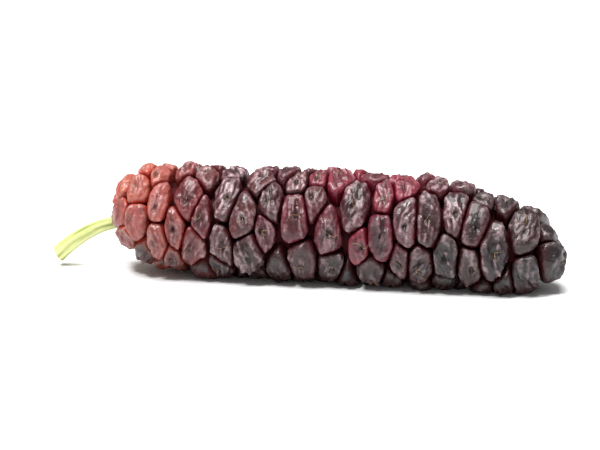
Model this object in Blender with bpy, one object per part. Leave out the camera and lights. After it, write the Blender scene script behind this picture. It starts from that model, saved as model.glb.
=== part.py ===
"""A long mulberry as picked: one ripe fruit of packed drupelets and its cut green stalk, lying on its side.

+X runs from the stalk to the fruit's tip and +Z is up. The origin is on the surface that the fruit lies on,
under the middle of the whole. Sizes are in metres, and angles in degrees unless a comment says otherwise.
"""

import itertools
import math
import random

import bpy
import numpy as np
from mathutils import Vector

# The fruit's outline
FRUIT_LENGTH = 0.050
FRUIT_THICKNESS = 0.0126
WIDEST_SHARE = 0.52  # of the length, counted from the neck, where the stalk is
NECK_BLUNTNESS = 7.3
TIP_BLUNTNESS = 14
TIP_TAPER = 0.66  # how much of the narrowing to the tip is gentle, before the blunt end
TIP_TAPER_BLUNTNESS = 2.6

# How it lies: the belly pressed a little flat, the neck lifted and the tip drooping
PRESSED_FLAT = 0.00055
NECK_LIFT = 0.0013
NECK_LIFT_SHARE = 0.32
TIP_DROOP = 0.0026
TIP_DROOP_SHARE = 0.38
SIDE_BOW = 0.0007
NECK_X = -0.0216  # this and the next put the middle of the whole over the origin
NECK_Y = -0.00065

# The drupelets
RING_PITCH = 0.00258
AROUND_PITCH = 0.00370
FEWEST_IN_RING = 3
NECK_CROWDING = 0.32  # how much smaller the drupelets are at the neck
NECK_CROWDING_SHARE = 0.20
RING_START_JITTER = 0.2  # how far a ring's first seat is turned off its place, in seats
RING_WOBBLE = 0.38  # how far the rings wander along the fruit, in rings
WOBBLE_TURN = 0.7  # radians that the wobble turns from one ring to the next
STRETCH = 1.7  # how much more the neighbours press a drupelet along the fruit than round it
DRUPELET_RISE = 0.0017  # from a drupelet's middle to its top
ROOT_DEPTH = 0.0026  # from a drupelet's middle to its root, inside the core
OVERSIZE = 1.9  # a drupelet's free width over its share of the surface, before its neighbours press it
ROUNDNESS = 2.2  # exponent of its free shape: 2 is an ellipsoid, more is a pillow
PRESS_SHARPNESS = 6.0  # how hard the edge is between a pressed side and the free top
PLACE_JITTER = 0.28
CLOSEST = 0.80  # seats closer than this, in pitches, are moved apart
SPREAD_PASSES = 6
SIZE_JITTER = 0.38
RISE_JITTER = 0.00025
RISE_BY_SIZE = 0.25  # how much prouder the larger ones stand
SEED = 7

# Their meshes
SIDES = 9
RING_LATITUDES = (36, 68, 102)  # down from the top

# The core that the drupelets grow on
CORE_DEPTH = 0.0020  # under the outline
CORE_SIDES = 14
CORE_RINGS = 11

# The stalk
STALK_REACH = 0.0062  # how far it stands out past the neck
STALK_SUNK = 0.0024
STALK_DROP = 0.0041
STALK_LOW = 0.0012  # how far under the middle line it leaves the neck
STALK_NECK_THICKNESS = 0.00135
STALK_END_THICKNESS = 0.00200
STALK_SIDES = 10
STALK_RINGS = 10
SOCKET_GAP = 0.00015

FRUIT_COLOUR = (0.060, 0.017, 0.024)
STALK_COLOUR = (0.52, 0.60, 0.20)

OUTLINE_SAMPLES = 400
NEIGHBOUR_REACH = 0.0075


def start_empty():
    """Clears the scene of what it opens with."""
    for thing in list(bpy.data.objects):
        bpy.data.objects.remove(thing, do_unlink=True)


def material(name, colour, roughness):
    """A Principled material in one plain colour."""
    made = bpy.data.materials.new(name)
    made.use_nodes = True
    shader = made.node_tree.nodes["Principled BSDF"]
    shader.inputs["Base Color"].default_value = (*colour, 1)
    shader.inputs["Roughness"].default_value = roughness
    shader.inputs["Metallic"].default_value = 0
    return made


def new_object(name, points, faces, collection):
    """A mesh object from its points and faces."""
    mesh = bpy.data.meshes.new(name)
    mesh.from_pydata([tuple(p) for p in points], [], faces)
    mesh.update()
    made = bpy.data.objects.new(name, mesh)
    collection.objects.link(made)
    return made


def middle_line(distance):
    """The (x, y, z) of the fruit's middle line, this far from the neck."""
    share = np.asarray(distance) / FRUIT_LENGTH
    near_neck = np.clip(1 - share / NECK_LIFT_SHARE, 0, None)
    near_tip = np.clip((share - 1) / TIP_DROOP_SHARE + 1, 0, None)
    height = FRUIT_THICKNESS / 2 - PRESSED_FLAT
    return np.stack(
        [
            NECK_X + share * FRUIT_LENGTH,
            NECK_Y + SIDE_BOW * (1 - (2 * share - 1) ** 2),
            height + NECK_LIFT * near_neck**2 - TIP_DROOP * near_tip**2,
        ],
        axis=-1,
    )


def outline():
    """The fruit's outline as (distance from the neck, radius) points, with the unit normal at each."""
    share = (1 - np.cos(np.linspace(0, math.pi, OUTLINE_SAMPLES))) / 2
    to_neck = np.clip(1 - share / WIDEST_SHARE, 0, 1)
    to_tip = np.clip((share - WIDEST_SHARE) / (1 - WIDEST_SHARE), 0, 1)
    fall = to_neck**NECK_BLUNTNESS
    fall += TIP_TAPER * to_tip**TIP_TAPER_BLUNTNESS + (1 - TIP_TAPER) * to_tip**TIP_BLUNTNESS
    points = np.stack([share * FRUIT_LENGTH, FRUIT_THICKNESS / 2 * np.sqrt(1 - fall)], axis=-1)
    slope = np.gradient(points, axis=0)
    normals = np.stack([-slope[:, 1], slope[:, 0]], axis=-1)
    return points, normals / np.linalg.norm(normals, axis=1, keepdims=True)


def inner_line(depth):
    """The line this far under the outline: its points, normals and the length along it to each point."""
    points, normals = outline()
    points = points - depth * normals
    kept = points[:, 1] > 0
    points, normals = points[kept], normals[kept]
    steps = np.linalg.norm(np.diff(points, axis=0), axis=1)
    return points, normals, np.concatenate([[0], np.cumsum(steps)])


def at_length(line, length):
    """The (distance from the neck, radius) and the normal at this length along an inner line."""
    points, normals, lengths = line
    point = np.array([np.interp(length, lengths, points[:, k]) for k in range(2)])
    normal = np.array([np.interp(length, lengths, normals[:, k]) for k in range(2)])
    return point, normal / np.linalg.norm(normal)


def on_fruit(point, angle):
    """The place in space of an outline point turned to this angle round the middle line."""
    spoke = np.array([0, math.cos(angle), math.sin(angle)])
    return middle_line(point[0]) + point[1] * spoke


def neck_crowding(share):
    """How much smaller the drupelets are this far from the neck."""
    return NECK_CROWDING * math.exp(-((share / NECK_CROWDING_SHARE) ** 2))


def ring_length(ring, rings, whole):
    """How far along the inner line this ring is, counted in rings from the neck."""
    reach = NECK_CROWDING * NECK_CROWDING_SHARE * math.sqrt(math.pi) / 2
    share = ring / rings
    return whole * (share - reach * math.erf(share / NECK_CROWDING_SHARE)) / (1 - reach)


def drupelet_seats(line):
    """Where each drupelet sits: staggered rings along the fruit, each seat and size a little off the rule."""
    draw = random.Random(SEED)
    whole = line[2][-1]
    rings = round(whole / RING_PITCH)
    seats = []
    for ring in range(rings):
        smaller = 1 - neck_crowding((ring + 0.5) / rings)
        radius = at_length(line, ring_length(ring + 0.5, rings, whole))[0][1]
        count = max(FEWEST_IN_RING, round(2 * math.pi * radius / (AROUND_PITCH * smaller)))
        first = draw.uniform(-RING_START_JITTER, RING_START_JITTER) + (ring % 2) / 2
        for place in range(count):
            angle = 2 * math.pi * (first + place + draw.uniform(-PLACE_JITTER, PLACE_JITTER)) / count
            swing = math.sin(2 * angle + WOBBLE_TURN * ring)
            wobble = RING_WOBBLE * swing * math.sin(math.pi * (ring + 0.5) / rings)
            moved = ring + 0.5 + wobble + draw.uniform(-PLACE_JITTER, PLACE_JITTER)
            weight = 1 + draw.uniform(-SIZE_JITTER, SIZE_JITTER)
            rise = DRUPELET_RISE * (1 + RISE_BY_SIZE * (weight - 1))
            rise += draw.uniform(-RISE_JITTER, RISE_JITTER)
            seats.append(
                {
                    "length": ring_length(moved, rings, whole),
                    "angle": angle,
                    "pitch_along": smaller * whole / rings,
                    "pitch_around": 2 * math.pi * radius / count,
                    "weight": weight,
                    "rise": rise,
                }
            )
    return seats


def spread_out(seats, line):
    """Moves apart the seats that were drawn too close together, in a few passes."""
    for _ in range(SPREAD_PASSES):
        for one, other in itertools.combinations(seats, 2):
            ahead = (other["length"] - one["length"]) / one["pitch_along"]
            if abs(ahead) > CLOSEST:
                continue
            radius = at_length(line, one["length"])[0][1]
            aside = math.remainder(other["angle"] - one["angle"], 2 * math.pi) * radius / one["pitch_around"]
            apart = math.hypot(ahead, aside)
            if apart > CLOSEST:
                continue
            push = (CLOSEST / apart - 1) / 2
            for seat, way in ((one, -push), (other, push)):
                margin = seat["pitch_along"] / 4
                length = seat["length"] + way * ahead * seat["pitch_along"]
                seat["length"] = min(max(length, margin), line[2][-1] - margin)
                seat["angle"] += way * aside * seat["pitch_around"] / radius


def drupelet_spots():
    """Each drupelet's place, axes, free size and how its neighbours press it."""
    line = inner_line(DRUPELET_RISE)
    seats = drupelet_seats(line)
    spread_out(seats, line)
    spots = []
    for seat in seats:
        point, normal = at_length(line, seat["length"])
        spoke = np.array([0, math.cos(seat["angle"]), math.sin(seat["angle"])])
        outward = np.array([normal[0], 0, 0]) + normal[1] * spoke
        along = np.array([normal[1], 0, 0]) - normal[0] * spoke
        spots.append(
            {
                "middle": on_fruit(point, seat["angle"]),
                "axes": np.stack([along, np.cross(outward, along), outward]),
                "half_along": OVERSIZE * seat["pitch_along"] / 2,
                "half_around": OVERSIZE * seat["pitch_around"] / 2,
                "rise": seat["rise"],
                "weight": seat["weight"],
                "stretch": 1 + (STRETCH - 1) * along[0] ** 2,
            }
        )
    return spots


def sphere_directions():
    """Directions to a drupelet's mesh points, in its own axes: top, rings, root."""
    found = [(0, 0, 1)]
    for number, latitude in enumerate(RING_LATITUDES):
        down = math.radians(latitude)
        for side in range(SIDES):
            turn = 2 * math.pi * (side + number / 2) / SIDES
            found.append((math.sin(down) * math.cos(turn), math.sin(down) * math.sin(turn), math.cos(down)))
    found.append((0, 0, -1))
    return np.array(found)


def sphere_faces():
    """The faces between those points, as triangles facing out."""
    faces = [(0, 1 + side, 1 + (side + 1) % SIDES) for side in range(SIDES)]
    rings = len(RING_LATITUDES)
    for ring in range(rings - 1):
        for side in range(SIDES):
            upper = 1 + ring * SIDES + side
            upper_next = 1 + ring * SIDES + (side + 1) % SIDES
            lower = 1 + (ring + 1) * SIDES + side
            lower_before = 1 + (ring + 1) * SIDES + (side - 1) % SIDES
            faces += [(upper, lower, upper_next), (upper, lower_before, lower)]
    last = 1 + (rings - 1) * SIDES
    root = 1 + rings * SIDES
    faces += [(root, last + (side + 1) % SIDES, last + side) for side in range(SIDES)]
    return faces


def pressed_shape(spot, spots, directions):
    """A drupelet's points: a free pillow, pressed back from the planes between it and its neighbours."""
    below = directions[:, 2] < 0
    sizes = np.stack(
        [
            np.full(len(directions), spot["half_along"]),
            np.full(len(directions), spot["half_around"]),
            np.where(below, ROOT_DEPTH, spot["rise"]),
        ],
        axis=-1,
    )
    free = (np.abs(directions / sizes) ** ROUNDNESS).sum(1) ** (-1 / ROUNDNESS)
    outwards = directions @ spot["axes"]
    total = free**-PRESS_SHARPNESS
    for other in spots:
        between = other["middle"] - spot["middle"]
        if other is spot or np.linalg.norm(between) > NEIGHBOUR_REACH:
            continue
        plane = between * (spot["stretch"] * other["stretch"], 1, 1)
        room = between @ plane * spot["weight"] / (spot["weight"] + other["weight"])
        towards = np.clip(outwards @ plane, 1e-9, None)
        total += (room / towards) ** -PRESS_SHARPNESS
    points = spot["middle"] + outwards * (total ** (-1 / PRESS_SHARPNESS))[:, None]
    points[:, 2] = np.clip(points[:, 2], 0, None)
    return points


def make_core(collection):
    """The body that the drupelets grow on, a turned shape round the middle line."""
    line = inner_line(CORE_DEPTH)
    points, faces = [on_fruit(at_length(line, 0)[0] * (1, 0), 0)], []
    for ring in range(CORE_RINGS):
        point, _ = at_length(line, line[2][-1] * (ring + 0.5) / CORE_RINGS)
        points += [on_fruit(point, 2 * math.pi * side / CORE_SIDES) for side in range(CORE_SIDES)]
    points.append(on_fruit(at_length(line, line[2][-1])[0] * (1, 0), 0))
    for side in range(CORE_SIDES):
        beside = (side + 1) % CORE_SIDES
        faces.append((0, 1 + beside, 1 + side))
        for ring in range(CORE_RINGS - 1):
            near, far = 1 + ring * CORE_SIDES, 1 + (ring + 1) * CORE_SIDES
            faces.append((near + side, near + beside, far + beside, far + side))
        last = 1 + (CORE_RINGS - 1) * CORE_SIDES
        faces.append((len(points) - 1, last + side, last + beside))
    return new_object("fruit", points, faces, collection)


def stalk_point(share):
    """A point on the stalk's middle line, from its root in the neck (0) to its cut end (1)."""
    root = middle_line(STALK_SUNK)
    out = share * (STALK_SUNK + STALK_REACH)
    return Vector((root[0] - out, root[1], root[2] - STALK_LOW - STALK_DROP * share**2))


def make_stalk(name, gap, collection):
    """The stalk as a closed tapered tube, or with a gap round it, the cutter for its socket."""
    points, faces = [], []
    for ring in range(STALK_RINGS):
        share = ring / (STALK_RINGS - 1)
        middle = stalk_point(share)
        ahead = (stalk_point(share + 0.01) - middle).normalized()
        side_way = Vector((0, 1, 0))
        up_way = ahead.cross(side_way)
        radius = (STALK_NECK_THICKNESS + (STALK_END_THICKNESS - STALK_NECK_THICKNESS) * share) / 2 + gap
        if ring == 0:
            middle = middle - ahead * gap
        for side in range(STALK_SIDES):
            turn = 2 * math.pi * side / STALK_SIDES
            points.append(middle + radius * (math.cos(turn) * side_way + math.sin(turn) * up_way))
    for ring in range(STALK_RINGS - 1):
        for side in range(STALK_SIDES):
            beside = (side + 1) % STALK_SIDES
            near, far = ring * STALK_SIDES, (ring + 1) * STALK_SIDES
            faces.append((near + side, near + beside, far + beside, far + side))
    faces.append(tuple(range(STALK_SIDES))[::-1])
    faces.append(tuple((STALK_RINGS - 1) * STALK_SIDES + side for side in range(STALK_SIDES)))
    return new_object(name, points, faces, collection)


def applied(thing):
    """Swaps an object's mesh for the one that its modifiers give."""
    graph = bpy.context.evaluated_depsgraph_get()
    mesh = bpy.data.meshes.new_from_object(thing.evaluated_get(graph))
    thing.modifiers.clear()
    thing.data = mesh


def make_fruit(collection):
    """The core with every drupelet fused to it, as one solid."""
    fruit = make_core(collection)
    grown = bpy.data.collections.new("drupelets")
    bpy.context.scene.collection.children.link(grown)
    spots = drupelet_spots()
    directions, faces = sphere_directions(), sphere_faces()
    for number, spot in enumerate(spots):
        new_object(f"drupelet_{number}", pressed_shape(spot, spots, directions), faces, grown)
    union = fruit.modifiers.new("fuse", "BOOLEAN")
    union.operation = "UNION"
    union.operand_type = "COLLECTION"
    union.collection = grown
    socket = make_stalk("socket_cutter", SOCKET_GAP, collection)
    cut = fruit.modifiers.new("socket", "BOOLEAN")
    cut.operation = "DIFFERENCE"
    cut.object = socket
    applied(fruit)
    bpy.data.objects.remove(socket, do_unlink=True)
    for thing in list(grown.objects):
        bpy.data.objects.remove(thing, do_unlink=True)
    bpy.data.collections.remove(grown)
    return fruit


def main():
    start_empty()
    collection = bpy.context.scene.collection
    fruit = make_fruit(collection)
    fruit.data.materials.clear()
    fruit.data.materials.append(material("ripe_fruit", FRUIT_COLOUR, 0.4))
    stalk = make_stalk("stalk", 0, collection)
    stalk.data.materials.append(material("green_stalk", STALK_COLOUR, 0.5))


main()
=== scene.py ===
"""A long mulberry dressed: drupelets with pits, seams and wrinkled skin, dried styles and a ribbed stalk.

+X runs from the stalk to the fruit's tip and +Z is up. Sizes are in metres, and angles in degrees unless a
comment says otherwise. A share runs from 0 at one end to 1 at the other. Marks and tones are between 0 and 1.
"""

import itertools
import math
import random

import bpy
import numpy as np
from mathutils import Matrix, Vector

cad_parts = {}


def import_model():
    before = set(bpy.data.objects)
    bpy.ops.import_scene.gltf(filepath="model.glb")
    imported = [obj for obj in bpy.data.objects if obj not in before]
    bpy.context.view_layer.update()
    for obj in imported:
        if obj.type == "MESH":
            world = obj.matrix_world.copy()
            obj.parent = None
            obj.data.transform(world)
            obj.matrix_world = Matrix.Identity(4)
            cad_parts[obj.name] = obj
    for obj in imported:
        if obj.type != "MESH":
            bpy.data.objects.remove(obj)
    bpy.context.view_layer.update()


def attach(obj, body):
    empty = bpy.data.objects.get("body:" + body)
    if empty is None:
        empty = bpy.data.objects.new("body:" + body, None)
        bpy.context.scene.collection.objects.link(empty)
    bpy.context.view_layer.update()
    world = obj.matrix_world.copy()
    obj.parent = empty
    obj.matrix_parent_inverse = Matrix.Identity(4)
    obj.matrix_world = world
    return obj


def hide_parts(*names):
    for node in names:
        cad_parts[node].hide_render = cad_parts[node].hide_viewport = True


# The fruit's outline and how it lies, as in the CAD part
FRUIT_LENGTH = 0.050
FRUIT_THICKNESS = 0.0126
WIDEST_SHARE = 0.52
NECK_BLUNTNESS = 7.3
TIP_BLUNTNESS = 14
TIP_TAPER = 0.66
TIP_TAPER_BLUNTNESS = 2.6
PRESSED_FLAT = 0.00055
NECK_LIFT = 0.0013
NECK_LIFT_SHARE = 0.32
TIP_DROOP = 0.0026
TIP_DROOP_SHARE = 0.38
SIDE_BOW = 0.0007
NECK_X = -0.0216
NECK_Y = -0.00065
OUTLINE_SAMPLES = 400

# The drupelets' places and sizes, as in the CAD part
RING_PITCH = 0.00258
AROUND_PITCH = 0.00370
FEWEST_IN_RING = 3
NECK_CROWDING = 0.32
NECK_CROWDING_SHARE = 0.20
RING_START_JITTER = 0.2
RING_WOBBLE = 0.38
WOBBLE_TURN = 0.7  # radians
STRETCH = 1.7
DRUPELET_RISE = 0.0017
ROOT_DEPTH = 0.0026
OVERSIZE = 1.9
ROUNDNESS = 2.2
PRESS_SHARPNESS = 6.0
PLACE_JITTER = 0.28
CLOSEST = 0.80
SPREAD_PASSES = 6
SIZE_JITTER = 0.38
RISE_JITTER = 0.00025
RISE_BY_SIZE = 0.25
SEED = 7
NEIGHBOUR_REACH = 0.0075

# The fine drupelets' meshes: rings from the top down to where the core hides them
SEGMENTS = 56
RINGS = 28
LOWEST_LATITUDE = 120
PIECES = 4

# What is drawn for each drupelet's skin, as (least, most)
SKIN_SEED = 100
PIT_ASIDE = (-0.00025, 0.00025)
PIT_FORTH = (-0.0007, 0.0004)
SEAM_LEAN = (-0.35, 0.35)  # radians
SEAM_CURVE = (-120, 120)  # metres aside for each square metre along it
PIT_STRENGTH = (0.55, 1.3)
SEAM_STRENGTH = (0.3, 1.1)
MARGIN_STRENGTH = (0.0, 1.1)
STREAK_STRENGTH = (0.6, 1.3)
CLOSENESS = (0.85, 1.9)  # how much narrower its creases are than the widest

# The skin's relief
PIT_WIDTH = 0.00030
PIT_LENGTH = 0.00050
PIT_DEPTH = 0.00030
PIT_RIM = 0.00006
RIM_PLACE = 1.5  # in pit sizes from its middle
RIM_WIDTH = 0.45
SEAM_WIDTH = 0.00011
SEAM_DEPTH = 0.00012
SEAM_WANDER = 0.00012
SEAM_BREAK = 0.6  # how much of the seam is lost in the pit
SEAM_BREAK_WIDTH = 1.3  # in pit sizes
MARGIN_WIDTH = 0.000088
MARGIN_OFFSET = 0.00048  # from the seam to the margin of the tepal beside it
MARGIN_FLARE = 60  # how it bends away from the seam, in the unit of the seam's curve
MARGIN_DEPTH = 0.00010
STREAK_WIDTH = 0.00034
STREAK_LENGTH = 0.0011
STREAK_HEIGHT = 0.00022
FINE_SCALE = 1.9  # how much finer the fine streaks are
FINE_HEIGHT = 0.5  # of the streaks' height
LUMP_SIZE = 0.0008
LUMP_HEIGHT = 0.00020
OPEN_TOP = (0.05, 0.55)  # heights in rises: the skin is hidden under the first and open from the second
RELIEF_GAPS = (0.00002, 0.00050)  # from the neighbour: the relief grows from the first to the second
CREASE_RELIEF = 0.25  # of the full relief, where two drupelets meet

# The skin's marks, by how far it is from the nearest neighbour
CREASE_GAPS = (0.00016, 0.00034)  # all painted crease shade up to the first, all skin from the second
EDGE_GAP = 0.00046  # where the paler edge of the skin runs, a painted highlight
EDGE_WIDTH = 0.00014
GAP_WAVE = 0.00010
FLANK_SHADE_GAPS = (-0.00060, 0.00100)  # painted shading: the pale streaks are weakest on the flanks at the first and full on the tops from the second
FLUSH_GAPS = (0.00025, 0.00140)  # the crimson flush fades from the first to the second
FLUSH_LUMP = 0.0002
STREAK_CONTRAST = (-0.09, 0.71)
FINE_PALENESS = 0.6  # of the streaks' paleness
RIM_PALENESS = 0.5
SEAM_DARKNESS = 0.7  # of the pit's darkness
FLOOR_SHADOW_HEIGHTS = (0.0003, 0.0021)  # over the floor: painted contact shadow up to the first, clear from the second
FLOOR_SHADOW_LUMP = 0.0003
UNSHADOWED_AT_FLOOR = 0.2  # how much of the skin is left clear of the painted contact shadow at the floor

# The colour zones, by share from neck to tip, and by height from -1 below to 1 above
NECK_REACH = 0.14
COLLAR_PLACE = 0.17
COLLAR_REACH = 0.06
SHOULDER_PLACE = 0.60
SHOULDER_REACH = 0.16
TIP_START = 0.50
UNDER_START = -0.1  # where the painted shade on the underside starts
UNDER_BEND = 1.5  # the power with which the painted shade darkens it downwards
CREAM_TOP = 0.35  # over which the neck has no cream

# How ripe a drupelet is, and what each zone and draw adds to that or takes from it
PLUM_RIPENESS = 0.73
RIPENESS_SPREAD = 0.07
TIP_RIPER = 0.30
# The underside's extra ripeness is painted shade, darkening it
UNDER_SHADE = 0.30
NECK_LESS_RIPE = 0.26
NECK_LESS_RIPE_DRAWN = 0.48  # at most
NECK_TOP_LESS_RIPE = 0.26
SHOULDER_LESS_RIPE = 0.16

# How crimson it is, in the same way
PLUM_BLUSH = 0.04
BLUSH_SPREAD = 0.12
COLLAR_BLUSH = 0.6
TIP_LESS_BLUSH = 0.2
SHOULDER_SIDE = 0.55  # how strong the shoulder is half-way up
SHOULDER_BLUSH = 0.15
SHOULDER_BLUSH_DRAWN = 1.5  # at most

# How thick its bloom is, with a painted highlight on the top and painted shade underneath, and the share of
# it that each zone adds or takes
THINNEST_BLOOM = 0.30
BLOOM_SPREAD = 0.38
# painted highlight: the upper drupelets get more pale bloom
TOP_HIGHLIGHT = 0.5
# painted shade: the underside gets less pale bloom
UNDER_SHADE_LESS_BLOOM = 0.95
TIP_LESS_BLOOM = 0.5
NECK_LESS_BLOOM = 0.3

# The neck's own tone, and how creamy the edges of its lower drupelets are
NECK_TONE = 1.5
LEAST_CREAM = 0.165
CREAM_SPREAD = 0.55
CREAM_DEPTH = 0.8  # how far below its top the cream is full

# The dried styles
STYLE_SEED = 700
STYLE_SHARE = 0.6  # of the drupelets that keep any
STYLE_THICKNESS = 0.00007
STYLE_LENGTHS = (0.00055, 0.00121)
STYLE_PARTING = (1.8, 3.6)  # radians between the two of a pair
STYLE_BEND = (-1.2, 1.2)  # radians
STYLE_CURL = (0.00002, 0.00016)  # how far the end stands off the skin
STYLE_CLEARANCE = 0.3  # of the thickness
STYLE_THINNING = 0.5
STYLE_SIDES = 6
STYLE_POINTS = 8

# The core that shows between the drupelets
CORE_DEPTH = 0.0021
CORE_SIDES = 64
CORE_RINGS = 80

# The stalk
STALK_REACH = 0.0062
STALK_SUNK = 0.0024
STALK_DROP = 0.0041
STALK_LOW = 0.0012
STALK_NECK_THICKNESS = 0.00135
STALK_END_THICKNESS = 0.00200
STALK_SIDES = 64
STALK_RINGS = 90
STALK_RIBS = 7
STALK_TWIST = 1.5  # radians that the ribs turn along it
STALK_RIB_STRENGTH = 0.6
STALK_WAVES = (3, 3, 5)  # how often the rough waves come, sideways twice and then along it
STALK_FINE_WAVES = (7.5, 7.5, 7.5)
STALK_ROUGHNESS = (0.7, 0.4)  # of the waves and the fine waves
STALK_RIDGE = 0.035  # of the radius
STALK_INSET = 0.94  # of the radius, so that the ridges stay within it
STALK_SLANT = 0.00025
STALK_SLANT_START = 0.7
CUT_RINGS = (0.93, 0.80, 0.62, 0.42, 0.22, 0.06)  # of the radius
CUT_DEPTH = 0.00012
CUT_TONES = (0.3, 0.15)  # at the middle and at the rim
RIDGE_TONE = 0.5
RIDGE_CONTRAST = 0.45

# Colours, linear
CORAL = (0.44, 0.094, 0.040)
DUSTY_RED = (0.210, 0.052, 0.048)
PLUM = (0.042, 0.007, 0.009)
BLACK_PLUM = (0.011, 0.007, 0.008)
# Crease colours: painted shade in the crevices, red at the neck and crimson where flushed
RED_CREASE = (0.330, 0.036, 0.022)
CRIMSON_CREASE = (0.125, 0.003, 0.013)
CRIMSON_SKIN = (0.160, 0.016, 0.030)
ROSE_BLOOM = (0.500, 0.240, 0.270)
NECK_BLOOM = (0.430, 0.225, 0.180)
CREAM = (0.420, 0.360, 0.250)
# Painted shade in the crevices; also the darkest tone of the flesh
CREASE_SHADE = (0.024, 0.002, 0.003)
DEEP_CRIMSON = (0.055, 0.003, 0.006)
PIT_BROWN = (0.006, 0.002, 0.002)
PALE_STREAK = (0.480, 0.345, 0.365)
STYLE_BROWN = (0.16, 0.085, 0.045)
STYLE_TAN = (0.32, 0.20, 0.11)
STALK_GREEN = (0.36, 0.40, 0.125)
STALK_PALE = (0.53, 0.57, 0.25)
STALK_SHADE = (0.15, 0.19, 0.040)
FLOOR_WHITE = (0.93, 0.93, 0.93)
FLOOR_BRIGHT = (0.95, 0.95, 0.95)

# Shaders. Noise scales are in cells a metre, and reliefs in metres.
BLOTCH_SCALE = 500
BLOTCH_TONE = 0.16
FLUSH_SPREAD = 0.45  # how far the crimson spreads over a whole drupelet
GRAIN_SCALE = 2400
GRAIN_LEVEL = 0.38
GRAIN_CONTRAST = 5.0
BLOOM_BASE = 0.25  # the part of the bloom without grain
# The pale edge of each drupelet is a painted highlight
EDGE_HIGHLIGHT = 0.3
FLUSH_CLEARS_BLOOM = 0.6
NECK_CLEARS_PIT = 0.65
SKIN_ROUGHNESS = 0.40
SKIN_SPECULAR = 0.26
SKIN_COAT = 0.26
SKIN_COAT_ROUGHNESS = 0.09
SKIN_BUMP_SCALE = 2600
SKIN_BUMP = 0.00020
FLESH_SCALE = 400
STYLE_SCALE = 3000
STALK_SCALE = 1500
STALK_MOTTLE = 0.25
STALK_BUMP_SCALE = 5000
STALK_BUMP = 0.00005
FLOOR_SCALE = 3

# The lights, as (place, size, watts)
OVERHEAD_LIGHT = ((-0.04, -0.04, 0.45), 0.34, 4.3)
KEY_LIGHT = ((-0.12, -0.20, 0.40), 0.08, 1.3)
SURROUND_STRENGTH = 0.30

# The view
VIEW_AZIMUTH = 10
VIEW_ELEVATION = 15
VIEW_DISTANCE = 0.190
VIEW_TARGET = (-0.0003, 0.0, 0.0058)
VIEW_LENS = 104

MARKS = ("crease_shade", "edge", "near", "pit", "streak", "ripe", "bloom_and_sheen", "blush", "neck", "cream")
NOISE_CELLS = 32
NOISE_TABLE = np.random.default_rng(SEED).uniform(-1, 1, (NOISE_CELLS,) * 3)


def middle_line(distance):
    """The (x, y, z) of the fruit's middle line, this far from the neck."""
    share = np.asarray(distance) / FRUIT_LENGTH
    near_neck = np.clip(1 - share / NECK_LIFT_SHARE, 0, None)
    near_tip = np.clip((share - 1) / TIP_DROOP_SHARE + 1, 0, None)
    height = FRUIT_THICKNESS / 2 - PRESSED_FLAT
    return np.stack(
        [
            NECK_X + share * FRUIT_LENGTH,
            NECK_Y + SIDE_BOW * (1 - (2 * share - 1) ** 2),
            height + NECK_LIFT * near_neck**2 - TIP_DROOP * near_tip**2,
        ],
        axis=-1,
    )


def outline():
    """The fruit's outline as (distance from the neck, radius) points, with the unit normal at each."""
    share = (1 - np.cos(np.linspace(0, math.pi, OUTLINE_SAMPLES))) / 2
    to_neck = np.clip(1 - share / WIDEST_SHARE, 0, 1)
    to_tip = np.clip((share - WIDEST_SHARE) / (1 - WIDEST_SHARE), 0, 1)
    fall = to_neck**NECK_BLUNTNESS
    fall += TIP_TAPER * to_tip**TIP_TAPER_BLUNTNESS + (1 - TIP_TAPER) * to_tip**TIP_BLUNTNESS
    points = np.stack([share * FRUIT_LENGTH, FRUIT_THICKNESS / 2 * np.sqrt(1 - fall)], axis=-1)
    slope = np.gradient(points, axis=0)
    normals = np.stack([-slope[:, 1], slope[:, 0]], axis=-1)
    return points, normals / np.linalg.norm(normals, axis=1, keepdims=True)


def inner_line(depth):
    """The line this far under the outline: its points, normals and the length along it to each point."""
    points, normals = outline()
    points = points - depth * normals
    kept = points[:, 1] > 0
    points, normals = points[kept], normals[kept]
    steps = np.linalg.norm(np.diff(points, axis=0), axis=1)
    return points, normals, np.concatenate([[0], np.cumsum(steps)])


def at_length(line, length):
    """The (distance from the neck, radius) and the normal at this length along an inner line."""
    points, normals, lengths = line
    point = np.array([np.interp(length, lengths, points[:, k]) for k in range(2)])
    normal = np.array([np.interp(length, lengths, normals[:, k]) for k in range(2)])
    return point, normal / np.linalg.norm(normal)


def on_fruit(point, angle):
    """The place in space of an outline point turned to this angle round the middle line."""
    spoke = np.array([0, math.cos(angle), math.sin(angle)])
    return middle_line(point[0]) + point[1] * spoke


def neck_crowding(share):
    """How much smaller the drupelets are this far from the neck."""
    return NECK_CROWDING * math.exp(-((share / NECK_CROWDING_SHARE) ** 2))


def ring_length(ring, rings, whole):
    """How far along the inner line this ring is, counted in rings from the neck."""
    reach = NECK_CROWDING * NECK_CROWDING_SHARE * math.sqrt(math.pi) / 2
    share = ring / rings
    return whole * (share - reach * math.erf(share / NECK_CROWDING_SHARE)) / (1 - reach)


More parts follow.
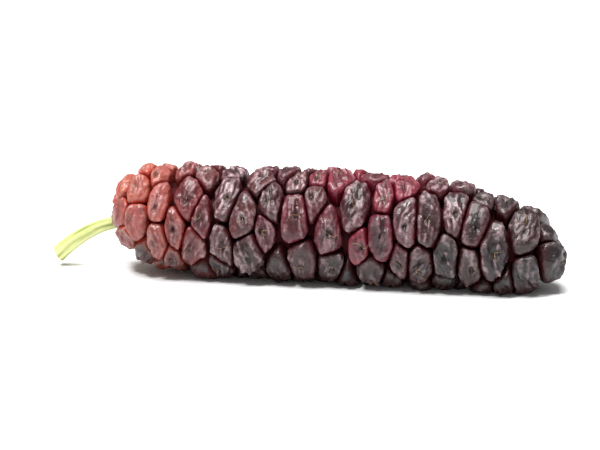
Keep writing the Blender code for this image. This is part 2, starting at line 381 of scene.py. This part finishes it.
def drupelet_seats(line):
    """Where each drupelet sits: staggered rings along the fruit, each seat and size a little off the rule."""
    draw = random.Random(SEED)
    whole = line[2][-1]
    rings = round(whole / RING_PITCH)
    seats = []
    for ring in range(rings):
        smaller = 1 - neck_crowding((ring + 0.5) / rings)
        radius = at_length(line, ring_length(ring + 0.5, rings, whole))[0][1]
        count = max(FEWEST_IN_RING, round(2 * math.pi * radius / (AROUND_PITCH * smaller)))
        first = draw.uniform(-RING_START_JITTER, RING_START_JITTER) + (ring % 2) / 2
        for place in range(count):
            angle = 2 * math.pi * (first + place + draw.uniform(-PLACE_JITTER, PLACE_JITTER)) / count
            swing = math.sin(2 * angle + WOBBLE_TURN * ring)
            wobble = RING_WOBBLE * swing * math.sin(math.pi * (ring + 0.5) / rings)
            moved = ring + 0.5 + wobble + draw.uniform(-PLACE_JITTER, PLACE_JITTER)
            weight = 1 + draw.uniform(-SIZE_JITTER, SIZE_JITTER)
            rise = DRUPELET_RISE * (1 + RISE_BY_SIZE * (weight - 1))
            rise += draw.uniform(-RISE_JITTER, RISE_JITTER)
            seats.append(
                {
                    "length": ring_length(moved, rings, whole),
                    "angle": angle,
                    "pitch_along": smaller * whole / rings,
                    "pitch_around": 2 * math.pi * radius / count,
                    "weight": weight,
                    "rise": rise,
                }
            )
    return seats


def spread_out(seats, line):
    """Moves apart the seats that were drawn too close together, in a few passes."""
    for _ in range(SPREAD_PASSES):
        for one, other in itertools.combinations(seats, 2):
            ahead = (other["length"] - one["length"]) / one["pitch_along"]
            if abs(ahead) > CLOSEST:
                continue
            radius = at_length(line, one["length"])[0][1]
            aside = math.remainder(other["angle"] - one["angle"], 2 * math.pi) * radius / one["pitch_around"]
            apart = math.hypot(ahead, aside)
            if apart > CLOSEST:
                continue
            push = (CLOSEST / apart - 1) / 2
            for seat, way in ((one, -push), (other, push)):
                margin = seat["pitch_along"] / 4
                length = seat["length"] + way * ahead * seat["pitch_along"]
                seat["length"] = min(max(length, margin), line[2][-1] - margin)
                seat["angle"] += way * aside * seat["pitch_around"] / radius


def drupelet_spots():
    """Each drupelet's place, axes, free size and how its neighbours press it."""
    line = inner_line(DRUPELET_RISE)
    seats = drupelet_seats(line)
    spread_out(seats, line)
    spots = []
    for seat in seats:
        point, normal = at_length(line, seat["length"])
        spoke = np.array([0, math.cos(seat["angle"]), math.sin(seat["angle"])])
        outward = np.array([normal[0], 0, 0]) + normal[1] * spoke
        along = np.array([normal[1], 0, 0]) - normal[0] * spoke
        spots.append(
            {
                "middle": on_fruit(point, seat["angle"]),
                "axes": np.stack([along, np.cross(outward, along), outward]),
                "half_along": OVERSIZE * seat["pitch_along"] / 2,
                "half_around": OVERSIZE * seat["pitch_around"] / 2,
                "rise": seat["rise"],
                "weight": seat["weight"],
                "stretch": 1 + (STRETCH - 1) * along[0] ** 2,
                "share": point[0] / FRUIT_LENGTH,
                "height": math.sin(seat["angle"]),
            }
        )
    return spots


def pressed_reach(spot, spots, directions):
    """How far a pillow reaches each way once pressed, those ways in space, and how near a neighbour is."""
    below = directions[:, 2] < 0
    sizes = np.stack(
        [
            np.full(len(directions), spot["half_along"]),
            np.full(len(directions), spot["half_around"]),
            np.where(below, ROOT_DEPTH, spot["rise"]),
        ],
        axis=-1,
    )
    free = (np.abs(directions / sizes) ** ROUNDNESS).sum(1) ** (-1 / ROUNDNESS)
    outwards = directions @ spot["axes"]
    total = free**-PRESS_SHARPNESS
    walls = []
    for other in spots:
        between = other["middle"] - spot["middle"]
        if other is spot or np.linalg.norm(between) > NEIGHBOUR_REACH:
            continue
        plane = between * (spot["stretch"] * other["stretch"], 1, 1)
        room = between @ plane * spot["weight"] / (spot["weight"] + other["weight"])
        towards = np.clip(outwards @ plane, 1e-9, None)
        total += (room / towards) ** -PRESS_SHARPNESS
        walls.append((room, towards, np.linalg.norm(plane)))
    reach = total ** (-1 / PRESS_SHARPNESS)
    gap = np.min([(room - reach * towards) / steep for room, towards, steep in walls], axis=0)
    return reach, outwards, gap


def smooth_noise(points):
    """Smooth noise between -1 and 1 at these points, with cells one unit wide."""
    cell = np.floor(points).astype(int)
    part = points - cell
    part = part * part * (3 - 2 * part)
    total = np.zeros(len(points))
    for corner in np.ndindex(2, 2, 2):
        share = np.prod(np.where(corner, part, 1 - part), axis=1)
        at = (cell + corner) % NOISE_CELLS
        total += share * NOISE_TABLE[at[:, 0], at[:, 1], at[:, 2]]
    return total


def smooth_step(value, low, high):
    """0 below low, 1 above high and smooth between."""
    share = np.clip((value - low) / (high - low), 0, 1)
    return share * share * (3 - 2 * share)


def bell(value, width):
    """1 at zero, falling off on both sides over this width."""
    return np.exp(-((value / width) ** 2))


def skin_traits(number):
    """What is drawn for one drupelet: its pit's place, its seam's lean, its marks' strengths, its tones."""
    draw = random.Random(SKIN_SEED + number)
    return {
        "pit_at": (draw.uniform(*PIT_ASIDE), draw.uniform(*PIT_FORTH)),
        "lean": draw.uniform(*SEAM_LEAN),
        "curve": draw.uniform(*SEAM_CURVE),
        "pit": draw.uniform(*PIT_STRENGTH),
        "seam": draw.uniform(*SEAM_STRENGTH),
        "margins": (draw.uniform(*MARGIN_STRENGTH), draw.uniform(*MARGIN_STRENGTH)),
        "streaks": draw.uniform(*STREAK_STRENGTH),
        "offset": draw.uniform(0, 1000),
        "tone": draw.gauss(0, 1),
        "redness": draw.random(),
        "dust": draw.random(),
        "closeness": draw.uniform(*CLOSENESS),
    }


def dressed_surface(spot, spots, number, directions):
    """The skin's points these ways from a drupelet's middle, and its marks there, all between 0 and 1."""
    traits = skin_traits(number)
    reach, outwards, gap = pressed_reach(spot, spots, directions)
    local = directions * reach[:, None]
    offset = np.array([traits["offset"], 0, 0])
    top = local[:, 2] / spot["rise"]
    open_skin = smooth_step(top, *OPEN_TOP)
    free_skin = open_skin * (CREASE_RELIEF + (1 - CREASE_RELIEF) * smooth_step(gap, *RELIEF_GAPS))
    wavy_gap = traits["closeness"] * gap + GAP_WAVE * smooth_noise(local / LUMP_SIZE - 2 * offset)

    lump = smooth_noise(local / LUMP_SIZE + offset)
    wander = smooth_noise(local / (2 * LUMP_SIZE) - offset)
    across = local[:, 0] - traits["pit_at"][0]
    lengthwise = local[:, 1] - traits["pit_at"][1]
    turn = traits["lean"]
    side = across * math.cos(turn) - lengthwise * math.sin(turn)
    forth = across * math.sin(turn) + lengthwise * math.cos(turn)
    side = side + traits["curve"] * forth**2 + SEAM_WANDER * wander

    away = np.hypot(side / PIT_WIDTH, forth / PIT_LENGTH)
    pit = traits["pit"] * bell(away, 1)
    rim = traits["pit"] * bell(away - RIM_PLACE, RIM_WIDTH)
    seam = traits["seam"] * bell(side, SEAM_WIDTH) * (1 - SEAM_BREAK * bell(away, SEAM_BREAK_WIDTH))
    margin_place = MARGIN_OFFSET + MARGIN_FLARE * forth**2
    margins = sum(
        strength * bell(side - way * margin_place, MARGIN_WIDTH)
        for way, strength in zip((-1, 1), traits["margins"])
    )
    fan = np.stack([side / STREAK_WIDTH, forth / STREAK_LENGTH, local[:, 2] / STREAK_LENGTH], axis=-1)
    streak = traits["streaks"] * smooth_noise(fan + 3 * offset)
    fine = traits["streaks"] * smooth_noise(FINE_SCALE * fan - offset)

    relief = (
        LUMP_HEIGHT * lump
        + STREAK_HEIGHT * (streak + FINE_HEIGHT * fine)
        + PIT_RIM * rim
        - PIT_DEPTH * pit
        - SEAM_DEPTH * seam
        - MARGIN_DEPTH * margins
    )
    points = spot["middle"] + outwards * (reach + relief * free_skin)[:, None]
    points[:, 2] = np.clip(points[:, 2], 0, None)
    # A painted contact shadow: near the floor the skin takes the crease shade
    lifted = smooth_step(points[:, 2] + FLOOR_SHADOW_LUMP * lump, *FLOOR_SHADOW_HEIGHTS)
    clear = UNSHADOWED_AT_FLOOR + (1 - UNSHADOWED_AT_FLOOR) * lifted
    grain = streak + FINE_PALENESS * fine + RIM_PALENESS * rim
    marks = {
        # painted shade in the creases between drupelets and along the floor
        "crease_shade": 1 - smooth_step(wavy_gap, *CREASE_GAPS) * open_skin * clear,
        "edge": bell(wavy_gap - EDGE_GAP, EDGE_WIDTH) * open_skin,
        "near": 1 - smooth_step(wavy_gap + FLUSH_LUMP * lump, *FLUSH_GAPS),
        "pit": np.clip(pit + SEAM_DARKNESS * (seam + margins), 0, 1) * open_skin,
        # painted shading: the pale streaks fade on the flanks and are full on the tops
        "streak": smooth_step(grain, *STREAK_CONTRAST) * smooth_step(gap, *FLANK_SHADE_GAPS),
    }
    return points, marks


def drupelet_tones(spot, number):
    """How ripe a drupelet is, from coral to plum-black, and how strong its bloom and warm tones are, with
    painted shade on its underside and a painted highlight on its top.
    """
    traits = skin_traits(number)
    share, height = spot["share"], spot["height"]
    tone, redness, dust = traits["tone"], traits["redness"], traits["dust"]
    neck = bell(share, NECK_REACH)
    collar = bell(share - COLLAR_PLACE, COLLAR_REACH)
    shoulder = bell(share - SHOULDER_PLACE, SHOULDER_REACH) * SHOULDER_SIDE * (1 + height)
    tip = max(0, share - TIP_START) / (1 - TIP_START)
    # painted shade: the underside is made riper, less crimson and less bloomy
    under = (max(0, UNDER_START - height) / (1 + UNDER_START)) ** UNDER_BEND

    ripe = PLUM_RIPENESS + RIPENESS_SPREAD * tone + TIP_RIPER * tip + UNDER_SHADE * under
    ripe -= neck * (NECK_LESS_RIPE + NECK_LESS_RIPE_DRAWN * redness + NECK_TOP_LESS_RIPE * height)
    ripe -= SHOULDER_LESS_RIPE * shoulder * redness

    blush = PLUM_BLUSH + BLUSH_SPREAD * tone + COLLAR_BLUSH * collar - TIP_LESS_BLUSH * tip
    blush += shoulder * (SHOULDER_BLUSH + SHOULDER_BLUSH_DRAWN * redness)
    blush *= 1 - under

    bloom_and_sheen = THINNEST_BLOOM + BLOOM_SPREAD * dust
    # painted highlight: more bloom on the upper drupelets
    bloom_and_sheen *= 1 + TOP_HIGHLIGHT * max(0, height)
    bloom_and_sheen *= (1 - UNDER_SHADE_LESS_BLOOM * under) * (1 - TIP_LESS_BLOOM * tip) * (1 - NECK_LESS_BLOOM * neck)

    cream = neck * min(max(CREAM_TOP - height, 0), CREAM_DEPTH) * (LEAST_CREAM + CREAM_SPREAD * dust)
    found = {"ripe": ripe, "bloom_and_sheen": bloom_and_sheen, "blush": blush, "neck": NECK_TONE * neck, "cream": cream}
    return {mark: min(max(value, 0), 1) for mark, value in found.items()}


def dome_directions():
    """Directions to a fine drupelet's points, in its own axes: top, rings, root."""
    found = [(0, 0, 1)]
    for ring in range(RINGS):
        down = math.radians(LOWEST_LATITUDE) * (ring + 1) / RINGS
        for side in range(SEGMENTS):
            turn = 2 * math.pi * (side + ring / 2) / SEGMENTS
            found.append((math.sin(down) * math.cos(turn), math.sin(down) * math.sin(turn), math.cos(down)))
    found.append((0, 0, -1))
    return np.array(found)


def dome_faces():
    """The faces between those points, facing out."""
    faces = [(0, 1 + side, 1 + (side + 1) % SEGMENTS) for side in range(SEGMENTS)]
    for ring in range(RINGS - 1):
        for side in range(SEGMENTS):
            upper = 1 + ring * SEGMENTS + side
            upper_next = 1 + ring * SEGMENTS + (side + 1) % SEGMENTS
            lower = 1 + (ring + 1) * SEGMENTS + side
            lower_before = 1 + (ring + 1) * SEGMENTS + (side - 1) % SEGMENTS
            faces += [(upper, lower, upper_next), (upper, lower_before, lower)]
    last = 1 + (RINGS - 1) * SEGMENTS
    root = 1 + RINGS * SEGMENTS
    faces += [(root, last + (side + 1) % SEGMENTS, last + side) for side in range(SEGMENTS)]
    return np.array(faces)


def new_piece(name, points, faces, node, shader, marks=None):
    """A smooth mesh piece that stands for a CAD node, with its marks as attributes."""
    mesh = bpy.data.meshes.new(name)
    mesh.from_pydata([tuple(p) for p in points], [], [tuple(f) for f in faces])
    mesh.update()
    mesh.shade_smooth()
    for mark, values in (marks or {}).items():
        mesh.attributes.new(mark, "FLOAT", "POINT").data.foreach_set("value", values)
    mesh.materials.append(shader)
    made = bpy.data.objects.new(name, mesh)
    bpy.context.scene.collection.objects.link(made)
    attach(made, "root")
    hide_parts(node)
    return made


def make_drupelets(spots, shader):
    """All the drupelets, in a few pieces from the neck to the tip."""
    directions, faces = dome_directions(), dome_faces()
    order = sorted(range(len(spots)), key=lambda number: spots[number]["share"])
    for piece in range(PIECES):
        numbers = order[piece * len(order) // PIECES : (piece + 1) * len(order) // PIECES]
        points, corners, marks = [], [], {mark: [] for mark in MARKS}
        for place, number in enumerate(numbers):
            own_points, own_marks = dressed_surface(spots[number], spots, number, directions)
            points.append(own_points)
            corners.append(faces + place * len(directions))
            own_marks.update(drupelet_tones(spots[number], number))
            for mark in MARKS:
                marks[mark].append(np.broadcast_to(own_marks[mark], len(directions)))
        new_piece(
            f"drupelets_{piece + 1}",
            np.concatenate(points),
            np.concatenate(corners),
            "fruit",
            shader,
            {mark: np.concatenate(values) for mark, values in marks.items()},
        )


def tube(path, radii, sides):
    """Points and faces of a closed round tube along a path, with a radius at each point of it."""
    path = [Vector(p) for p in path]
    points = []
    side_way = (path[1] - path[0]).orthogonal().normalized()
    for number, middle in enumerate(path):
        ahead = (path[min(number + 1, len(path) - 1)] - path[max(number - 1, 0)]).normalized()
        side_way = (side_way - ahead * side_way.dot(ahead)).normalized()
        up_way = ahead.cross(side_way)
        for side in range(sides):
            turn = 2 * math.pi * side / sides
            points.append(middle + radii[number] * (math.cos(turn) * side_way + math.sin(turn) * up_way))
    return points, tube_faces(len(path), sides)


def tube_faces(rings, sides):
    """The faces of a closed tube of rings of points, with flat ends."""
    faces = []
    for ring in range(rings - 1):
        for side in range(sides):
            beside = (side + 1) % sides
            near, far = ring * sides, (ring + 1) * sides
            faces.append((near + side, near + beside, far + beside, far + side))
    faces.append(tuple(range(sides))[::-1])
    faces.append(tuple((rings - 1) * sides + side for side in range(sides)))
    return faces


def make_styles(spots, shader):
    """The dried styles: short brown threads that start in a pit and lie curled on the skin."""
    points, faces = [], []
    for number, spot in enumerate(spots):
        draw = random.Random(STYLE_SEED + number)
        if draw.random() > STYLE_SHARE:
            continue
        start = np.array([*skin_traits(number)["pit_at"], 0])
        heading = draw.uniform(0, 2 * math.pi)
        for way in (0, draw.uniform(*STYLE_PARTING)):
            length = draw.uniform(*STYLE_LENGTHS)
            bend = draw.uniform(*STYLE_BEND)
            curl = draw.uniform(*STYLE_CURL)
            path = []
            for step in range(STYLE_POINTS):
                share = step / (STYLE_POINTS - 1)
                angle = heading + way + bend * share
                local = start + share * length * np.array([math.cos(angle), math.sin(angle), 0])
                direction = local + np.array([0, 0, spot["rise"]])
                skin, _ = dressed_surface(spot, spots, number, (direction / np.linalg.norm(direction))[None])
                off_skin = STYLE_CLEARANCE * STYLE_THICKNESS + curl * share**2
                place = skin[0] + spot["axes"][2] * off_skin
                path.append((place[0], place[1], max(place[2], STYLE_THICKNESS / 2)))
            thinning = STYLE_THINNING / STYLE_POINTS
            radii = [STYLE_THICKNESS / 2 * (1 - thinning * step) for step in range(STYLE_POINTS)]
            own_points, own_faces = tube(path, radii, STYLE_SIDES)
            base = len(points)
            points += own_points
            faces += [tuple(base + corner for corner in face) for face in own_faces]
    return new_piece("styles", points, faces, "fruit", shader)


def make_core(shader):
    """The flesh that shows between the drupelets, near-black as painted shade in the crevices."""
    line = inner_line(CORE_DEPTH)
    points, faces = [on_fruit(at_length(line, 0)[0] * (1, 0), 0)], []
    for ring in range(CORE_RINGS):
        point, _ = at_length(line, line[2][-1] * (ring + 0.5) / CORE_RINGS)
        points += [on_fruit(point, 2 * math.pi * side / CORE_SIDES) for side in range(CORE_SIDES)]
    points.append(on_fruit(at_length(line, line[2][-1])[0] * (1, 0), 0))
    for side in range(CORE_SIDES):
        beside = (side + 1) % CORE_SIDES
        faces.append((0, 1 + beside, 1 + side))
        for ring in range(CORE_RINGS - 1):
            near, far = 1 + ring * CORE_SIDES, 1 + (ring + 1) * CORE_SIDES
            faces.append((near + side, near + beside, far + beside, far + side))
        last = 1 + (CORE_RINGS - 1) * CORE_SIDES
        faces.append((len(points) - 1, last + side, last + beside))
    return new_piece("flesh", points, faces, "fruit", shader)


def stalk_point(share):
    """A point on the stalk's middle line, from its root in the neck (0) to its cut end (1)."""
    root = middle_line(STALK_SUNK)
    out = share * (STALK_SUNK + STALK_REACH)
    return Vector((root[0] - out, root[1], root[2] - STALK_LOW - STALK_DROP * share**2))


def make_stalk(shader):
    """The stalk: fine ridges along it, and a slightly slanted and hollow cut at its far end."""
    points, ridges = [], []
    for ring in range(STALK_RINGS):
        share = ring / (STALK_RINGS - 1)
        middle = stalk_point(share)
        ahead = (stalk_point(share + 0.01) - middle).normalized()
        side_way = Vector((0, 1, 0))
        up_way = ahead.cross(side_way)
        radius = (STALK_NECK_THICKNESS + (STALK_END_THICKNESS - STALK_NECK_THICKNESS) * share) / 2
        slanting = max(0, (share - STALK_SLANT_START) / (1 - STALK_SLANT_START))
        for side in range(STALK_SIDES):
            turn = 2 * math.pi * side / STALK_SIDES
            around = np.array([[math.cos(turn), math.sin(turn), share]])
            ridge = STALK_RIB_STRENGTH * math.cos(STALK_RIBS * turn + STALK_TWIST * share)
            for waves, strength in zip((STALK_WAVES, STALK_FINE_WAVES), STALK_ROUGHNESS):
                ridge += strength * float(smooth_noise(around * waves)[0])
            spoke = math.cos(turn) * side_way + math.sin(turn) * up_way
            slant = STALK_SLANT * slanting**2 * math.sin(turn)
            points.append(middle + radius * (STALK_INSET + STALK_RIDGE * ridge) * spoke + slant * ahead)
            ridges.append(min(max(RIDGE_TONE + RIDGE_CONTRAST * ridge, 0), 1))
    rim = points[-STALK_SIDES:]
    middle = sum(rim, Vector()) / STALK_SIDES
    for share in CUT_RINGS:
        hollow = CUT_DEPTH * (1 - share**4)
        points += [middle + share * (point - middle) - hollow * ahead for point in rim]
        ridges += [np.interp(share, (0, 1), CUT_TONES)] * len(rim)
    faces = tube_faces(STALK_RINGS + len(CUT_RINGS), STALK_SIDES)
    return new_piece("ribbed_stalk", points, faces, "stalk", shader, {"ridge": ridges})


def new_material(name, roughness):
    """A material with its shader, ready for its colour."""
    made = bpy.data.materials.new(name)
    made.use_nodes = True
    shader = made.node_tree.nodes["Principled BSDF"]
    shader.inputs["Roughness"].default_value = roughness
    return made, made.node_tree, shader


def attribute(tree, name):
    """The output of a mark on the mesh."""
    node = tree.nodes.new("ShaderNodeAttribute")
    node.attribute_name = name
    return node.outputs["Fac"]


def ramp(tree, value, stops):
    """A colour ramp over a value, from (place, colour) stops."""
    node = tree.nodes.new("ShaderNodeValToRGB")
    elements = node.color_ramp.elements
    elements[0].position, elements[0].color = stops[0][0], (*stops[0][1], 1)
    elements[1].position, elements[1].color = stops[-1][0], (*stops[-1][1], 1)
    for place, colour in stops[1:-1]:
        elements.new(place).color = (*colour, 1)
    tree.links.new(value, node.inputs["Fac"])
    return node.outputs["Color"]


def mix(tree, factor, first, second):
    """Two colours mixed by a factor; a colour may be given plainly."""
    node = tree.nodes.new("ShaderNodeMix")
    node.data_type = "RGBA"
    tree.links.new(factor, node.inputs["Factor"])
    for socket, colour in (("A", first), ("B", second)):
        if isinstance(colour, tuple):
            node.inputs[socket].default_value = (*colour, 1)
        else:
            tree.links.new(colour, node.inputs[socket])
    return node.outputs["Result"]


def calculate(tree, operation, first, second):
    """One step of arithmetic on two values, kept between 0 and 1; either may be a plain number."""
    node = tree.nodes.new("ShaderNodeMath")
    node.operation = operation
    node.use_clamp = True
    for socket, value in zip(node.inputs, (first, second)):
        if isinstance(value, (int, float)):
            socket.default_value = value
        else:
            tree.links.new(value, socket)
    return node.outputs["Value"]


def plus(tree, first, second):
    """The sum of two values."""
    return calculate(tree, "ADD", first, second)


def minus(tree, first, second):
    """The first value less the second."""
    return calculate(tree, "SUBTRACT", first, second)


def times(tree, first, second):
    """The product of two values."""
    return calculate(tree, "MULTIPLY", first, second)


def noise(tree, scale, detail):
    """Noise over the object, with cells about 1 / scale metres wide."""
    place = tree.nodes.new("ShaderNodeTexCoord")
    node = tree.nodes.new("ShaderNodeTexNoise")
    node.inputs["Scale"].default_value = scale
    node.inputs["Detail"].default_value = detail
    tree.links.new(place.outputs["Object"], node.inputs["Vector"])
    return node.outputs["Fac"]


def bump(tree, shader, height, distance):
    """Fine relief on a shader from a height."""
    node = tree.nodes.new("ShaderNodeBump")
    node.inputs["Distance"].default_value = distance
    tree.links.new(height, node.inputs["Height"])
    tree.links.new(node.outputs["Normal"], shader.inputs["Normal"])


def pale_bloom(tree, marks, flush):
    """How pale the skin is: grainy streaks of bloom and painted sheen, full on the tops and faint on the
    flanks as painted shading, with painted highlights along the edges, weaker where it is flushed.
    """
    grain = times(tree, minus(tree, noise(tree, GRAIN_SCALE, 3), GRAIN_LEVEL), GRAIN_CONTRAST)
    grain = plus(tree, times(tree, grain, 1 - BLOOM_BASE), BLOOM_BASE)
    pale = plus(tree, marks["streak"], times(tree, marks["edge"], EDGE_HIGHLIGHT))
    pale = times(tree, pale, marks["bloom_and_sheen"])
    pale = times(tree, pale, grain)
    return times(tree, pale, minus(tree, 1.0, times(tree, flush, FLUSH_CLEARS_BLOOM)))


def skin_material():
    """The drupelets' skin: coral to plum-black, pale streaks, dark pits and seams, and creases darkened as
    painted shade, red at the neck, crimson where flushed.
    """
    made, tree, shader = new_material("drupelet_skin", SKIN_ROUGHNESS)
    marks = {name: attribute(tree, name) for name in MARKS}
    blush, neck = marks["blush"], marks["neck"]

    ripe = plus(tree, marks["ripe"], times(tree, noise(tree, BLOTCH_SCALE, 3), BLOTCH_TONE))
    body = ramp(tree, ripe, [(0.10, CORAL), (0.42, DUSTY_RED), (0.72, PLUM), (1.0, BLACK_PLUM)])
    flush = times(tree, plus(tree, marks["near"], times(tree, blush, FLUSH_SPREAD)), blush)
    body = mix(tree, flush, body, mix(tree, neck, CRIMSON_SKIN, CORAL))

    # the pale colour of the bloom, which also stands for painted sheen
    bloom_and_sheen = mix(tree, neck, mix(tree, blush, PALE_STREAK, ROSE_BLOOM), NECK_BLOOM)
    body = mix(tree, pale_bloom(tree, marks, flush), body, bloom_and_sheen)
    body = mix(tree, times(tree, marks["edge"], marks["cream"]), body, CREAM)

    full_pit = minus(tree, 1.0, times(tree, neck, NECK_CLEARS_PIT))
    body = mix(tree, times(tree, marks["pit"], full_pit), body, PIT_BROWN)
    # painted shade in the creases and along the floor
    crease_shade = mix(tree, neck, mix(tree, blush, CREASE_SHADE, CRIMSON_CREASE), RED_CREASE)
    body = mix(tree, marks["crease_shade"], body, crease_shade)

    tree.links.new(body, shader.inputs["Base Color"])
    bump(tree, shader, noise(tree, SKIN_BUMP_SCALE, 4), SKIN_BUMP)
    shader.inputs["Specular IOR Level"].default_value = SKIN_SPECULAR
    shader.inputs["Coat Weight"].default_value = SKIN_COAT
    shader.inputs["Coat Roughness"].default_value = SKIN_COAT_ROUGHNESS
    return made


def flesh_material():
    """The wet flesh between the drupelets, dark as painted shade deep in the crevices."""
    made, tree, shader = new_material("dark_flesh", 0.7)
    shader.inputs["Specular IOR Level"].default_value = 0.1
    colour = ramp(tree, noise(tree, FLESH_SCALE, 3), [(0.3, CREASE_SHADE), (0.8, DEEP_CRIMSON)])
    tree.links.new(colour, shader.inputs["Base Color"])
    return made


def style_material():
    """The dried brown of the styles."""
    made, tree, shader = new_material("dried_style", 0.6)
    colour = ramp(tree, noise(tree, STYLE_SCALE, 2), [(0.3, STYLE_BROWN), (0.7, STYLE_TAN)])
    tree.links.new(colour, shader.inputs["Base Color"])
    return made


def stalk_material():
    """The stalk's pale yellow-green, with painted shade between its ridges, and darker on its cut."""
    made, tree, shader = new_material("stalk_skin", 0.45)
    height = times(tree, attribute(tree, "ridge"), 1 - STALK_MOTTLE)
    height = plus(tree, height, times(tree, noise(tree, STALK_SCALE, 4), STALK_MOTTLE))
    # painted shade: darker green in the grooves between the ridges
    colour = ramp(tree, height, [(0.10, STALK_SHADE), (0.40, STALK_GREEN), (0.80, STALK_PALE)])
    tree.links.new(colour, shader.inputs["Base Color"])
    bump(tree, shader, noise(tree, STALK_BUMP_SCALE, 3), STALK_BUMP)
    shader.inputs["Subsurface Weight"].default_value = 0.15
    shader.inputs["Subsurface Scale"].default_value = 0.001
    return made


def make_floor():
    """The plain pale floor that the fruit lies on."""
    bpy.ops.mesh.primitive_plane_add(size=6)
    floor = bpy.context.object
    floor.name = "floor"
    made, tree, shader = new_material("floor_white", 0.8)
    colour = ramp(tree, noise(tree, FLOOR_SCALE, 1), [(0.0, FLOOR_WHITE), (1.0, FLOOR_BRIGHT)])
    tree.links.new(colour, shader.inputs["Base Color"])
    floor.data.materials.append(made)


def add_light(name, place, size, watts):
    """A soft round light aimed at the fruit."""
    data = bpy.data.lights.new(name, "AREA")
    data.shape = "DISK"
    data.size = size
    data.energy = watts
    made = bpy.data.objects.new(name, data)
    bpy.context.scene.collection.objects.link(made)
    made.location = place
    made.rotation_euler = (-Vector(place)).to_track_quat("-Z", "Y").to_euler()


def light_the_scene():
    """Soft light from above, a little from the front, and a white surround."""
    world = bpy.data.worlds.new("white_surround")
    bpy.context.scene.world = world
    world.use_nodes = True
    background = world.node_tree.nodes["Background"]
    background.inputs["Color"].default_value = (1, 1, 1, 1)
    background.inputs["Strength"].default_value = SURROUND_STRENGTH
    add_light("overhead", *OVERHEAD_LIGHT)
    add_light("key", *KEY_LIGHT)
    bpy.context.scene.view_settings.view_transform = "Standard"


def place_camera():
    """The camera: low in front of the fruit, and a little round towards its tip."""
    camera = bpy.data.objects.new("camera", bpy.data.cameras.new("camera"))
    bpy.context.scene.collection.objects.link(camera)
    azimuth, elevation = math.radians(VIEW_AZIMUTH), math.radians(VIEW_ELEVATION)
    away = Vector(
        (
            math.sin(azimuth) * math.cos(elevation),
            -math.cos(azimuth) * math.cos(elevation),
            math.sin(elevation),
        )
    )
    camera.location = Vector(VIEW_TARGET) + VIEW_DISTANCE * away
    camera.rotation_euler = (-away).to_track_quat("-Z", "Y").to_euler()
    camera.data.lens = VIEW_LENS
    camera.data.clip_start = 0.01
    bpy.context.scene.camera = camera


def main():
    """Loads the CAD part and dresses it."""
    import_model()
    place_camera()
    light_the_scene()
    make_floor()
    spots = drupelet_spots()
    make_core(flesh_material())
    make_drupelets(spots, skin_material())
    make_styles(spots, style_material())
    make_stalk(stalk_material())


main()
